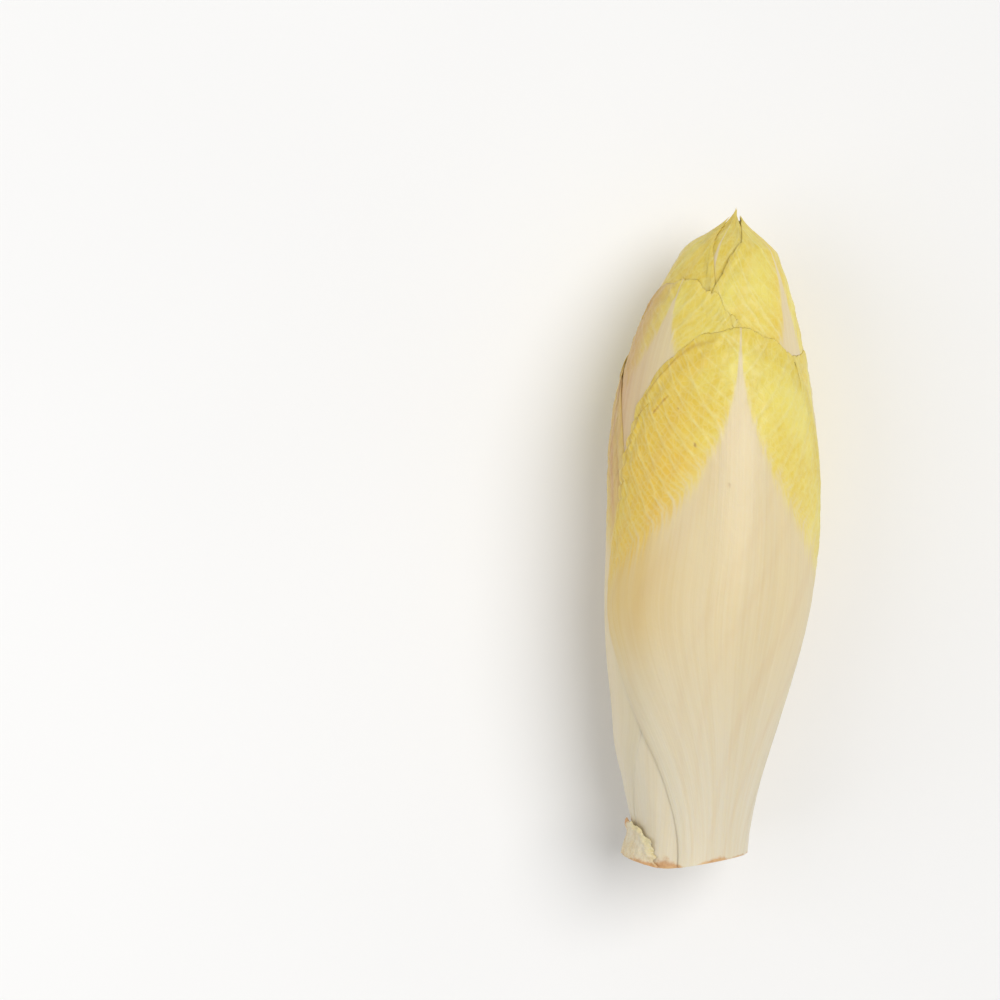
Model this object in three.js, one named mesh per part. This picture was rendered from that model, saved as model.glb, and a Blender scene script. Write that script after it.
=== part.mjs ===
// A head of Belgian endive, lying on its side on a level surface.
// Units are millimetres. The head's axis runs along Y with the tip at +Y, and +Z is up.
// Every leaf is its own closed solid. The leaves share out the room between the core and
// the head's outer skin, so they nest tightly and never cross.

import * as THREE from 'three';

// The head as a whole
const headLength = 131;
const headRadius = 21.2;
const widestAt = 0.58;            // how far along the head it is widest, 0 base to 1 tip
const baseRatio = 0.565;          // radius at the cut base over the greatest radius
const swellPower = 1.75;          // how late the neck above the base swells out
const tipRatio = 0.1;
const tipFullness = 1.9;          // how long the head stays wide above its widest place
const tipRoundness = 0.75;
const restHeight = 19.8;           // the axis above the surface, a little under the greatest radius
const baseSlant = 0.22;           // the base is cut a little askew, rise over run
const slantReach = 0.16;
const tipBend = 2;                // how far the tip leans sideways
const bendFrom = 0.7;
const bowReach = 1.2;             // how far the head bows sideways about its middle
const bowAt = 0.49;
const bowLength = 0.17;
const lobeDepth = 0.012;          // how far the skin swells and dips around the head
const lobeTwist = 200;            // degrees that the swellings wind round from base to tip
const lobeTurn = 40;

// The core, a short cone that the leaves grow from
const coreRadius = 6.6;
const coreTop = 0.25;

// The leaves, counted from the outermost inwards
const leafCount = 18;
const goldenAngle = 137.5;
const firstAzimuth = 79;          // the outermost leaf faces up
const azimuthWander = 13;         // the leaves stray this far either way from the even spiral
const wanderStep = 0.94;
const leafTips = [
  0.813, 0.8, 0.79, 0.885, 0.87, 0.985, 0.94, 0.965, 1, 0.975, 0.955, 0.945,
  0.93, 0.905, 0.88, 0.845, 0.8, 0.75,
];
const baseLeaves = 5;             // the outer leaves that reach the cut base
const footStep = 0.0165;          // each leaf inside those starts this much higher up
const firstFoot = 0.03;
const footReach = 0.1;            // a leaf is full thickness this far above its foot
const spreadReach = 0.25;         // and full width this far above it
const drawFrom = 0.35;            // the blade draws in between these two heights
const drawTo = 0.65;

// Half widths are degrees around the head's axis. A leaf between the outermost and the
// innermost is in step between these two.
const outermost = { baseWidth: 62, fullWidth: 94, drawnIn: 19, tipReach: 0.27, weight: 1 };
const innermost = { baseWidth: 80, fullWidth: 104, drawnIn: 8, tipReach: 0.2, weight: 0.75 };
// The outermost leaf has a narrow foot, turned a little to one side.
const narrowFoot = { baseWidth: 42, footTurn: -20, spreadFrom: 0, spreadTo: 0.42 };
const tipShare = 0.4;             // a leaf's thickness at its tip, over that at its foot
const edgeShare = 0.55;           // a leaf at its margin, over the same leaf at its midrib
const edgeFade = 0.42;            // how far the fit relaxes outside a margin
const footFade = 0.1;
const footShare = 0.6;
const ribReach = 0.1;             // the midrib's flat middle, over the leaf's half width

// The empty space in the middle, which grows towards the tip
const throatShare = 0.15;
const throatFrom = 0.15;
const throatTo = 0.35;
const mouthShare = 0.3;
const mouthFrom = 0.6;

// The bud in the middle and the trimmed leaf outside
const budFoot = 0.26;
const budTip = 0.68;
const budShare = 1.1;
const budLowerEnd = 0.07;         // lengths over which the bud's two ends round off
const budUpperEnd = 0.13;
const trimAzimuth = 172;
const trimHalfWidth = 52;
const trimTop = 0.055;
const trimThickness = 1.3;
const trimTopThickness = 0.6;
const trimRounding = 0.45;        // how much lower and thinner it is at its two sides
const trimLift = 0.016;            // its lower edge rises on the side away from the slant
const trimGap = 0.45;

// Gaps between neighbours
const leafGap = 0.7;              // the widest gap between two leaves
const leastLeafGap = 0.35;
const leafGapShare = 0.5;         // in thin places the gap is this much of the room
const coreGap = 0.4;
const leastRadius = 0.25;         // blunts the pointed ends of the core and the bud

const { degToRad, lerp, clamp, smoothstep } = THREE.MathUtils;

// ---- The skin, the core and the way the head is bent ----

function headProfile(s) {
  if (s < widestAt) {
    const swell = Math.pow((1 + Math.cos(Math.PI * s / widestAt)) / 2, swellPower);
    return headRadius * (1 - (1 - baseRatio) * swell);
  }
  const along = Math.min(1, (s - widestAt) / (1 - widestAt));
  const taper = Math.pow(Math.max(0, 1 - Math.pow(along, tipFullness)), tipRoundness);
  return headRadius * (tipRatio + (1 - tipRatio) * taper);
}

// The skin is slightly lobed, and flat where the head rests.
function skinRadius(azimuth, s) {
  const threeLobes = Math.cos(degToRad(3 * azimuth + lobeTwist * s));
  const twoLobes = Math.cos(degToRad(2 * azimuth - lobeTurn));
  const free = headProfile(s) * (1 + lobeDepth * (threeLobes + 0.6 * twoLobes));
  const down = Math.max(0, -Math.sin(degToRad(azimuth)));
  return down * free > restHeight ? restHeight / down : free;
}

function coreProfile(s) {
  return s < coreTop ? coreRadius * Math.cos(Math.PI / 2 * s / coreTop) : 0;
}

// A point at a given azimuth and radius about the axis, s of the way from base to tip.
function place(azimuth, radius, s) {
  const across = radius * Math.cos(degToRad(azimuth));
  const up = radius * Math.sin(degToRad(azimuth));
  const slant = baseSlant * Math.pow(Math.max(0, 1 - s / slantReach), 2);
  const bend = tipBend * Math.pow(Math.max(0, (s - bendFrom) / (1 - bendFrom)), 2);
  const bow = bowReach * Math.exp(-Math.pow((s - bowAt) / bowLength, 2));
  const along = (s - 0.5) * headLength + slant * across;
  return new THREE.Vector3(across + bend + bow, along, restHeight + up);
}

// ---- The leaves ----

function leafFoot(index) {
  return index < baseLeaves ? 0 : firstFoot + footStep * (index - baseLeaves);
}

// The outer leaves narrow towards the base; the inner ones wrap further round.
function leafHalfWidth(leaf, s) {
  const spread = smoothstep(s, leaf.spreadFrom, leaf.spreadTo);
  const draw = smoothstep(s, drawFrom, drawTo);
  return leaf.baseWidth + (leaf.fullWidth - leaf.baseWidth) * spread - leaf.drawnIn * draw;
}

function leafAzimuth(leaf, s) {
  return leaf.azimuth + leaf.footTurn * (1 - smoothstep(s, leaf.spreadFrom, leaf.spreadTo));
}

function makeLeaf(index) {
  const inward = index / (leafCount - 1);
  const between = (measure) => lerp(outermost[measure], innermost[measure], inward);
  const tip = leafTips[index];
  const foot = leafFoot(index);
  return {
    index,
    tip,
    foot,
    shoulder: tip - between('tipReach'),
    azimuth: firstAzimuth + goldenAngle * index + azimuthWander * Math.sin(wanderStep * index),
    baseWidth: between('baseWidth'),
    fullWidth: between('fullWidth'),
    drawnIn: between('drawnIn'),
    weight: between('weight'),
    footTurn: 0,
    spreadFrom: foot,
    spreadTo: foot + spreadReach,
    ...(index === 0 ? narrowFoot : {}),
  };
}

const leaves = Array.from({ length: leafCount }, (_, index) => makeLeaf(index));

// 0 on the midrib, 1 on the leaf's outline, more outside it
function outlineMeasure(leaf, azimuth, s) {
  const turn = THREE.MathUtils.euclideanModulo(azimuth - leafAzimuth(leaf, s) + 180, 360) - 180;
  const rise = Math.max(0, (s - leaf.shoulder) / (leaf.tip - leaf.shoulder));
  return Math.hypot(turn / leafHalfWidth(leaf, s), rise);
}

// How much of the wall's thickness a leaf asks for at a place.
function leafShare(leaf, azimuth, s) {
  const out = outlineMeasure(leaf, azimuth, s);
  const plump = lerp(1, edgeShare, smoothstep(out, ribReach, 1));
  const fade = clamp(1 - (out - 1) / edgeFade, 0, 1);
  const rising = clamp((s - leaf.foot) / footFade + 1, 0, 1);
  const grown = lerp(footShare, 1, smoothstep(s, leaf.foot, leaf.foot + footReach));
  const footing = leaf.foot > 0 ? rising * grown : 1;
  const thinning = lerp(1, tipShare, clamp(s / leaf.tip, 0, 1));
  return leaf.weight * plump * fade * footing * thinning;
}

function budShareAt(s) {
  const low = clamp((s - budFoot) / footFade + 1, 0, 1);
  const high = clamp(1 - (s - budTip) / footFade, 0, 1);
  return budShare * low * high;
}

function emptyShare(s) {
  return throatShare * smoothstep(s, throatFrom, throatTo) + mouthShare * smoothstep(s, mouthFrom, 1);
}

// Radii of the faces between the leaves at a place, from the skin inwards.
function wallRadii(azimuth, s) {
  const shares = leaves.map((leaf) => leafShare(leaf, azimuth, s));
  const inside = budShareAt(s) + emptyShare(s) + 1e-6;
  const total = shares.reduce((sum, share) => sum + share, inside);
  const core = coreProfile(s);
  const room = skinRadius(azimuth, s) - core;
  const radii = [core + room];
  let left = total;
  for (const share of shares) {
    left -= share;
    radii.push(core + room * left / total);
  }
  return radii;
}

function leafFaces(leaf, azimuth, s) {
  const radii = wallRadii(azimuth, s);
  const outer = radii[leaf.index];
  const thickness = outer - radii[leaf.index + 1];
  const gap = clamp(leafGapShare * thickness, leastLeafGap, leafGap);
  return { outer, inner: outer - thickness + gap };
}

// A place on the leaf, from u across (-1 to 1) and v along (0 foot to 1 tip).
// The straight part of the leaf is a plain grid; its end is a half disc.
function leafPlace(leaf, u, v, straightPart) {
  if (v <= straightPart) {
    const s = lerp(leaf.foot, leaf.shoulder, v / straightPart);
    return { azimuth: leafAzimuth(leaf, s) + u * leafHalfWidth(leaf, s), s };
  }
  const along = (v - straightPart) / (1 - straightPart);
  const across = u * Math.sqrt(1 - along * along / 2);
  const s = lerp(leaf.shoulder, leaf.tip, along * Math.sqrt(1 - u * u / 2));
  return { azimuth: leafAzimuth(leaf, s) + across * leafHalfWidth(leaf, s), s };
}

// ---- Closed meshes ----

// A closed shell from two matching grids of points and the rim that joins them.
function shellGeometry(across, along, outerPoint, innerPoint) {
  const points = [];
  const faces = [];
  const count = (across + 1) * (along + 1);
  for (const pointAt of [outerPoint, innerPoint]) {
    for (let row = 0; row <= along; row += 1) {
      for (let column = 0; column <= across; column += 1) {
        points.push(pointAt(column / across * 2 - 1, row / along));
      }
    }
  }
  const outer = (column, row) => row * (across + 1) + column;
  const inner = (column, row) => count + outer(column, row);
  const quad = (a, b, c, d) => faces.push(a, b, c, a, c, d);
  for (let row = 0; row < along; row += 1) {
    for (let column = 0; column < across; column += 1) {
      const [left, right, above] = [column, column + 1, row + 1];
      quad(outer(left, row), outer(left, above), outer(right, above), outer(right, row));
      quad(inner(left, row), inner(right, row), inner(right, above), inner(left, above));
    }
    quad(outer(0, row), inner(0, row), inner(0, row + 1), outer(0, row + 1));
    quad(outer(across, row), outer(across, row + 1), inner(across, row + 1), inner(across, row));
  }
  for (let column = 0; column < across; column += 1) {
    quad(outer(column, 0), outer(column + 1, 0), inner(column + 1, 0), inner(column, 0));
    quad(outer(column, along), inner(column, along), inner(column + 1, along), outer(column + 1, along));
  }
  return closedGeometry(points, faces);
}

// A closed spindle of rings about the axis, with a point at each end.
function spindleGeometry(sides, stations, radiusAt) {
  const points = [];
  const faces = [];
  const azimuths = Array.from({ length: sides }, (_, side) => side * 360 / sides);
  for (const s of stations) {
    for (const azimuth of azimuths) {
      points.push(place(azimuth, radiusAt(azimuth, s), s));
    }
  }
  const bottom = points.push(place(0, 0, stations[0])) - 1;
  const top = points.push(place(0, 0, stations[stations.length - 1])) - 1;
  const last = (stations.length - 1) * sides;
  for (let side = 0; side < sides; side += 1) {
    const next = (side + 1) % sides;
    for (let ring = 0; ring < last; ring += sides) {
      const above = ring + sides;
      faces.push(ring + side, above + side, above + next, ring + side, above + next, ring + next);
    }
    faces.push(bottom, side, next);
    faces.push(top, last + next, last + side);
  }
  return closedGeometry(points, faces);
}

function closedGeometry(points, faces) {
  const geometry = new THREE.BufferGeometry();
  geometry.setFromPoints(points);
  geometry.setIndex(faces);
  geometry.computeVertexNormals();
  return geometry;
}

// ---- The pieces ----

const head = new THREE.Group();

function addPiece(name, geometry, look) {
  const mesh = new THREE.Mesh(geometry, new THREE.MeshStandardMaterial({ metalness: 0, ...look }));
  mesh.name = name;
  head.add(mesh);
}

// The leaf that the head rests on is drawn more finely, for the sake of its flat.
const restingLeaf = 1;
const restingAcross = 18;
const straightRows = 0.62;        // the part of a leaf's rows that lies below its shoulder

const outerLook = { color: 0xe6d493, roughness: 0.45 };
const middleLook = { color: 0xeadfa8, roughness: 0.5 };
const innerLook = { color: 0xefe6bc, roughness: 0.5 };
const leafKinds = [
  { kind: 'outer_leaf', from: 0, to: 6, across: 12, along: 13, look: outerLook },
  { kind: 'middle_leaf', from: 6, to: 12, across: 11, along: 12, look: middleLook },
  { kind: 'inner_leaf', from: 12, to: leafCount, across: 9, along: 10, look: innerLook },
];

function leafGeometry(leaf, across, along) {
  const straightPart = Math.round(along * straightRows) / along;
  const face = (side) => (u, v) => {
    const { azimuth, s } = leafPlace(leaf, u, v, straightPart);
    return place(azimuth, leafFaces(leaf, azimuth, s)[side], s);
  };
  return shellGeometry(across, along, face('outer'), face('inner'));
}

for (const { kind, from, to, across, along, look } of leafKinds) {
  for (const leaf of leaves.slice(from, to)) {
    const columns = leaf.index === restingLeaf ? restingAcross : across;
    addPiece(`${kind}_${leaf.index - from + 1}`, leafGeometry(leaf, columns, along), look);
  }
}

// The bud fills the middle up to a gap from the innermost leaf.
function budRadius(azimuth, s) {
  const radii = wallRadii(azimuth, s);
  const lower = smoothstep(s, budFoot - 0.01, budFoot + budLowerEnd);
  const upper = 1 - smoothstep(s, budTip - budUpperEnd, budTip + 0.01);
  return Math.max(leastRadius, (radii[leafCount] - coreGap) * Math.min(lower, upper));
}

function stations(from, to, steps) {
  return Array.from({ length: steps + 1 }, (_, row) => lerp(from, to, row / steps));
}

const budGeometry = spindleGeometry(10, stations(budFoot, budTip, 8), budRadius);
addPiece('heart_bud', budGeometry, { color: 0xf3ebc6, roughness: 0.5 });

const coreRadiusAt = (azimuth, s) => Math.max(leastRadius, coreProfile(s) - coreGap);
const coreGeometry = spindleGeometry(16, stations(0, coreTop * 0.94, 5), coreRadiusAt);
addPiece('core', coreGeometry, { color: 0xe9e0c8, roughness: 0.6 });

// What is left of an older leaf, trimmed off just above the base.
function trimmedLeafGeometry() {
  const at = (u, v, outside) => {
    const azimuth = trimAzimuth + u * trimHalfWidth;
    const sides = 1 - trimRounding * u * u;
    const s = lerp(trimLift * smoothstep(azimuth, 145, 190), trimTop * sides, v);
    const thickness = lerp(trimThickness, trimTopThickness, v) * sides;
    return place(azimuth, skinRadius(azimuth, s) + trimGap + outside * thickness, s);
  };
  return shellGeometry(8, 3, (u, v) => at(u, v, 1), (u, v) => at(u, v, 0));
}

addPiece('trimmed_leaf', trimmedLeafGeometry(), { color: 0xd8c39b, roughness: 0.6 });

// The origin is under the middle of the head, on the surface that it rests on.
const middle = new THREE.Box3().setFromObject(head).getCenter(new THREE.Vector3());
head.position.set(-middle.x, -middle.y, 0);

export default head;
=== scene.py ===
import bpy
import math
import numpy as np
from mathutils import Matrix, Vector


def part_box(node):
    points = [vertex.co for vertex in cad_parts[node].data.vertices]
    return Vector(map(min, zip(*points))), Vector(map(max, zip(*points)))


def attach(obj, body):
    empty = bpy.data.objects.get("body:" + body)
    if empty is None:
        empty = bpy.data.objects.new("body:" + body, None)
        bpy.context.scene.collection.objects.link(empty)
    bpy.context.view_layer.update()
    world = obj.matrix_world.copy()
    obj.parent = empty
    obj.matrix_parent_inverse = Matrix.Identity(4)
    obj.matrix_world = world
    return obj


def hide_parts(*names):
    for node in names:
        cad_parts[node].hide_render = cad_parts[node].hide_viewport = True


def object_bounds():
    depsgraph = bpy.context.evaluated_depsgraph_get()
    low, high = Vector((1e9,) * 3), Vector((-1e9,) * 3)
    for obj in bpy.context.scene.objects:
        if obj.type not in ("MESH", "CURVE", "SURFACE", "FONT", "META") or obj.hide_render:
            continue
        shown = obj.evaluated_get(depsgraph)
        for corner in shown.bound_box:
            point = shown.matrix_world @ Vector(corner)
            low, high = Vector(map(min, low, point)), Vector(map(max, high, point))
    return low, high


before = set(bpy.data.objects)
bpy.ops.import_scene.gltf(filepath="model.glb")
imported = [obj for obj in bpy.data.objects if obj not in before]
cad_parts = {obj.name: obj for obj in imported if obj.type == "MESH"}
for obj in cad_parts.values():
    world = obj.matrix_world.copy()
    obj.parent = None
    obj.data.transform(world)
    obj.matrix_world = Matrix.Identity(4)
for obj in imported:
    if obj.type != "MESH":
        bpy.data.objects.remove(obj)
cadLow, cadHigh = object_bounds()
print("frame loaded:", len(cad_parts), "nodes")

mm = 0.001

# The head's own measures, in millimetres, degrees and parts of its length.
# Down to the core they are those of the solid leaves, and the rest only shapes what is seen.
headShape = {
    "radius": 21.2, "widestAt": 0.58, "baseRatio": 0.565, "swellPower": 1.75,
    "tipRatio": 0.1, "tipFullness": 1.9, "tipRoundness": 0.75,
    "baseSlant": 0.22, "slantReach": 0.16,
    "tipBend": 2.0, "bendFrom": 0.7,
    "bow": (1.2, 0.49, 0.17),             # sideways in the middle: how much, where, how far
    "lobeDepth": 0.012, "lobeTwist": 200.0, "lobeTurn": 40.0, "secondLobe": 0.6,
    "coreRadius": 6.6, "coreTop": 0.25,
    "mouthFrom": 0.935,                   # above here the tips fold together over the opening
    "mouthClosing": 0.75,
    "sideSwell": (0.055, 0.17, 0.05),     # one side bulges a little above the base
    "sideHollow": (0.075, 0.045, 0.035),  # and draws in below that
    "cutTurn": 5.0,                       # so far out on that side the cut turns up again
    "cutTurnSoft": 1.2,
}

# Where the head lies comes from the frame: its axis is the core's middle.
coreLow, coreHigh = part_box("core")
coreHalf = (coreHigh[0] - coreLow[0]) / 2
axisX = (coreLow[0] + coreHigh[0]) / 2
axisZ = (coreLow[2] + coreHigh[2]) / 2
baseY = coreLow[1] + headShape["baseSlant"] * coreHalf
headLength = (cadHigh[1] - baseY) / mm
restHeight = axisZ / mm


def smooth(low, high, x):
    t = np.clip((x - low) / (high - low), 0.0, 1.0)
    return t * t * (3 - 2 * t)


def blend(a, b, t):
    return a + (b - a) * t


def cosine(degrees):
    return np.cos(np.radians(degrees))


def sine(degrees):
    return np.sin(np.radians(degrees))


def hump(x, height, middle, width):
    return height * np.exp(-((x - middle) / width) ** 2)


def turnFrom(azimuth, middle):
    # the shorter way round, between -180 and 180 degrees
    return np.mod(azimuth - middle + 180, 360) - 180


def ripple(x, seed):
    # a wandering wave between about -1 and 1, its wavelength about one unit of x
    waves = 5
    rng = np.random.default_rng(seed)
    speeds = rng.uniform(0.6, 1.9, waves)
    phases = rng.uniform(0, 2 * math.pi, waves)
    return sum(np.sin(2 * math.pi * k * x + p) for k, p in zip(speeds, phases)) / math.sqrt(waves)


def headProfile(s):
    h = headShape
    swell = ((1 + np.cos(np.pi * np.minimum(s / h["widestAt"], 1))) / 2) ** h["swellPower"]
    along = np.clip((s - h["widestAt"]) / (1 - h["widestAt"]), 0, 1)
    taper = (1 - along ** h["tipFullness"]) ** h["tipRoundness"]
    lower = 1 - (1 - h["baseRatio"]) * swell
    upper = h["tipRatio"] + (1 - h["tipRatio"]) * taper
    upper = upper * (1 - h["mouthClosing"] * smooth(h["mouthFrom"], 1, s))
    return h["radius"] * np.where(s < h["widestAt"], lower, upper)


def skinRadius(azimuth, s):
    h = headShape
    lobes = cosine(3 * azimuth + h["lobeTwist"] * s)
    lobes = lobes + h["secondLobe"] * cosine(2 * azimuth - h["lobeTurn"])
    sideways = np.maximum(0, -cosine(azimuth)) ** 2
    swell = hump(s, *h["sideSwell"]) - hump(s, *h["sideHollow"])
    free = headProfile(s) * (1 + h["lobeDepth"] * lobes + sideways * swell)
    down = np.maximum(-sine(azimuth), 1e-6)
    return np.where(down * free > restHeight, restHeight / down, free)    # flat where it rests


def coreProfile(s):
    h = headShape
    return np.where(s < h["coreTop"], h["coreRadius"] * np.cos(np.pi / 2 * s / h["coreTop"]), 0)


def place(azimuth, radius, s):
    # metres, from degrees, millimetres and a part of the head's length
    h = headShape
    across = radius * cosine(azimuth)
    up = radius * sine(azimuth)
    slant = h["baseSlant"] * np.maximum(0, 1 - s / h["slantReach"]) ** 2
    soft = h["cutTurnSoft"]
    cut = across + 2 * soft * np.logaddexp(0, -(across + h["cutTurn"]) / soft)
    bend = h["tipBend"] * np.maximum(0, (s - h["bendFrom"]) / (1 - h["bendFrom"])) ** 2
    bow = hump(s, *h["bow"])
    x = axisX + (across + bend + bow) * mm
    y = baseY + (s * headLength + slant * cut) * mm
    z = axisZ + up * mm
    return np.stack([x, y, z], axis=-1)


# How the leaves share the room between the core and the skin.

leafPlan = {
    "tips": [0.813, 0.8, 0.79, 0.885, 0.87, 0.988, 0.986, 0.987, 1.0, 0.99, 0.987, 0.984,
             0.975, 0.96, 0.935, 0.905, 0.86, 0.79],
    "bluntness": [2.15, 2.5, 2.4],  # 2 is a round end, more is squarer; one for each kind
    "goldenAngle": 137.5, "firstAzimuth": 79.0, "wander": 13.0, "wanderStep": 0.94,
    "baseLeaves": 5,                # the ones whose feet reach the cut
    "firstFoot": 0.03, "footStep": 0.0165, "footReach": 0.1, "footFade": 0.03, "footShare": 0.6,
    "spreadReach": 0.25, "drawFrom": 0.35, "drawTo": 0.65,
    "edgeShare": 0.07,              # thin margins
    "edgeFade": 0.45,               # how far the next leaf takes to rise beside one
    "ribReach": 0.1, "tipShare": 0.4,
    "emptyMiddle": 0.12,            # some room is left free in the middle
    "emptyFrom": 0.15, "emptyTo": 0.35,
}
outermost = {"baseWidth": 62, "fullWidth": 94, "drawnIn": 19, "tipReach": 0.27, "weight": 1.0}
innermost = {"baseWidth": 80, "fullWidth": 104, "drawnIn": 8, "tipReach": 0.2, "weight": 0.75}
narrowFoot = {"baseWidth": 42, "footTurn": -20, "spreadFrom": 0.0, "spreadTo": 0.42}    # the outermost's
budPlan = {
    "foot": 0.26, "tip": 0.68, "share": 1.1, "tipFade": 0.1, "lowerEnd": 0.07, "upperEnd": 0.13,
    "sectorAngle": 6.0, "rings": 90, "inset": 0.3, "fullness": 0.9, "thinnest": 0.2,
    "flatRadius": 4, "flatLength": 50,
}

leafCount = len(leafPlan["tips"])

leafForm = {
    "footGap": 0.05,             # between one leaf and the next at the cut
    "bodyGap": -0.14,            # above it they press into each other
    "gap": 0.06,                 # and near the tips they come free
    "bodyReach": (0, 0.03), "freeReach": (0.45, 0.8),
    "ribThickness": 6.0,         # at the foot, in the middle
    "tipThickness": 0.9, "footMargin": 5.0, "marginThickness": 0.4, "thinnest": 0.12,
    "footRows": 7,               # rows over the cut face of a foot
    "crowding": 0.55,            # how much closer the rows stand near the margin
    "closePower": 36,            # how sharply the two faces meet at the margin
    "ribWidth": 1.1,             # the white rib, over the leaf's half width
    "ribPower": 2.2, "ribStart": 0.5,
    "bladeReach": (0.34, 0.58),  # the yellow comes in between these
}
longRibs = {3: 0.7}  # a leaf whose white rib stays wide for longer


def makeLeaf(index):
    inward = index / (leafCount - 1)
    leaf = {key: blend(outermost[key], innermost[key], inward) for key in outermost}
    p = leafPlan
    wander = p["wander"] * math.sin(p["wanderStep"] * index)
    stepsUp = max(0, index - p["baseLeaves"])
    tip = p["tips"][index]
    foot = 0.0 if index < p["baseLeaves"] else p["firstFoot"] + p["footStep"] * stepsUp
    leaf.update({
        "index": index, "tip": tip, "foot": foot, "blunt": p["bluntness"][index // 6],
        "shoulder": tip - leaf["tipReach"], "length": (tip - foot) * headLength,
        "azimuth": p["firstAzimuth"] + p["goldenAngle"] * index + wander,
        "footTurn": 0.0, "spreadFrom": foot, "spreadTo": foot + p["spreadReach"],
        "ribStart": longRibs.get(index, leafForm["ribStart"]),
    })
    if index == 0:
        leaf.update(narrowFoot)
    return leaf


leaves = [makeLeaf(index) for index in range(leafCount)]


def leafHalfWidth(leaf, s):
    spread = smooth(leaf["spreadFrom"], leaf["spreadTo"], s)
    draw = smooth(leafPlan["drawFrom"], leafPlan["drawTo"], s)
    return leaf["baseWidth"] + (leaf["fullWidth"] - leaf["baseWidth"]) * spread - leaf["drawnIn"] * draw


def leafAzimuth(leaf, s):
    return leaf["azimuth"] + leaf["footTurn"] * (1 - smooth(leaf["spreadFrom"], leaf["spreadTo"], s))


def outlineMeasure(leaf, across, rise):
    # 0 on the midrib, 1 on the leaf's outline
    return (np.abs(across) ** leaf["blunt"] + rise ** leaf["blunt"]) ** (1 / leaf["blunt"])


def leafShare(leaf, azimuth, s):
    p = leafPlan
    turn = turnFrom(azimuth, leafAzimuth(leaf, s))
    rise = np.maximum(0, (s - leaf["shoulder"]) / leaf["tipReach"])
    out = outlineMeasure(leaf, turn / leafHalfWidth(leaf, s), rise)
    plump = blend(1, p["edgeShare"], smooth(p["ribReach"], 1, out))
    fade = 1 - smooth(1, 1 + p["edgeFade"], out)
    footing = 1.0
    if leaf["foot"] > 0:
        rising = np.clip((s - leaf["foot"]) / p["footFade"] + 1, 0, 1)
        footing = rising * blend(p["footShare"], 1, smooth(leaf["foot"], leaf["foot"] + p["footReach"], s))
    thinning = blend(1, p["tipShare"], np.clip(s / leaf["tip"], 0, 1))
    return leaf["weight"] * plump * fade * footing * thinning


def insideShare(s):
    p = leafPlan
    low = np.clip((s - budPlan["foot"]) / p["footFade"] + 1, 0, 1)
    high = np.clip(1 - (s - budPlan["tip"]) / budPlan["tipFade"], 0, 1)
    empty = p["emptyMiddle"] * smooth(p["emptyFrom"], p["emptyTo"], s)
    return budPlan["share"] * low * high + empty + 1e-6


def wallAround(index, azimuth, s):
    # the two radii between which a leaf may lie
    shares = [leafShare(leaf, azimuth, s) for leaf in leaves]
    total = sum(shares) + insideShare(s)
    before = sum(shares[:index]) if index else np.zeros_like(s)
    after = before + (shares[index] if index < leafCount else 0)
    core = coreProfile(s)
    room = skinRadius(azimuth, s) - core
    return core + room * (1 - before / total), core + room * (1 - after / total)


# Node helpers.

def addNode(tree, kind, values=None, **settings):
    node = tree.nodes.new(kind)
    for key, value in settings.items():
        setattr(node, key, value)
    for key, value in (values or {}).items():
        feed(tree, value, node.inputs[key])
    return node


def firstOut(tree, kind, values=None, **settings):
    return addNode(tree, kind, values, **settings).outputs[0]


def feed(tree, value, socket):
    if isinstance(value, bpy.types.NodeSocket):
        tree.links.new(value, socket)
    elif socket.type == "RGBA":
        socket.default_value = (*value, 1)
    else:
        socket.default_value = value


def owner(*values):
    # the tree that the sockets among some values belong to
    return next(value.id_data for value in values if isinstance(value, bpy.types.NodeSocket))


def calc(operation, a, b=0.0, c=0.0, clamp=False):
    values = {0: a, 1: b, 2: c}
    return firstOut(owner(a, b, c), "ShaderNodeMath", values, operation=operation, use_clamp=clamp)


def times(a, b, clamp=False):
    return calc("MULTIPLY", a, b, clamp=clamp)


def over(a, b):
    return calc("DIVIDE", a, b)


def plus(a, b):
    return calc("ADD", a, b)


def minus(a, b):
    return calc("SUBTRACT", a, b)


def linear(value, slope, start, clamp=False):
    return calc("MULTIPLY_ADD", value, slope, start, clamp)


def scaled(vector, by):
    return firstOut(owner(vector), "ShaderNodeVectorMath", {0: vector, "Scale": by}, operation="SCALE")


def noise(at, scale, detail, roughness=0.5):
    sockets = {"Vector": at, "Scale": scale, "Detail": detail, "Roughness": roughness}
    return firstOut(owner(at), "ShaderNodeTexNoise", sockets)


def storedValue(tree, name, kind="FLOAT"):
    return firstOut(tree, "GeometryNodeInputNamedAttribute", {"Name": name}, data_type=kind)


def between(value, low, high):
    # 0 at low and 1 at high, with soft ends
    sockets = {"Value": value, "From Min": low, "From Max": high}
    return firstOut(owner(value), "ShaderNodeMapRange", sockets, interpolation_type="SMOOTHSTEP")


def newGroup(name, kind, inputs, output, outputType="NodeSocketFloat"):
    # an input is given its number, or its type when it has none
    tree = bpy.data.node_groups.new(name, kind)
    for label, value in inputs.items():
        kinds = {int: "NodeSocketInt", float: "NodeSocketFloat", str: value}
        socket = tree.interface.new_socket(name=label, in_out="INPUT", socket_type=kinds[type(value)])
        if not isinstance(value, str):
            socket.default_value = value
    tree.interface.new_socket(name=output, in_out="OUTPUT", socket_type=outputType)
    return tree, tree.nodes.new("NodeGroupInput").outputs, tree.nodes.new("NodeGroupOutput").inputs[0]


# Veins, as relief laid over a leaf.

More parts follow.
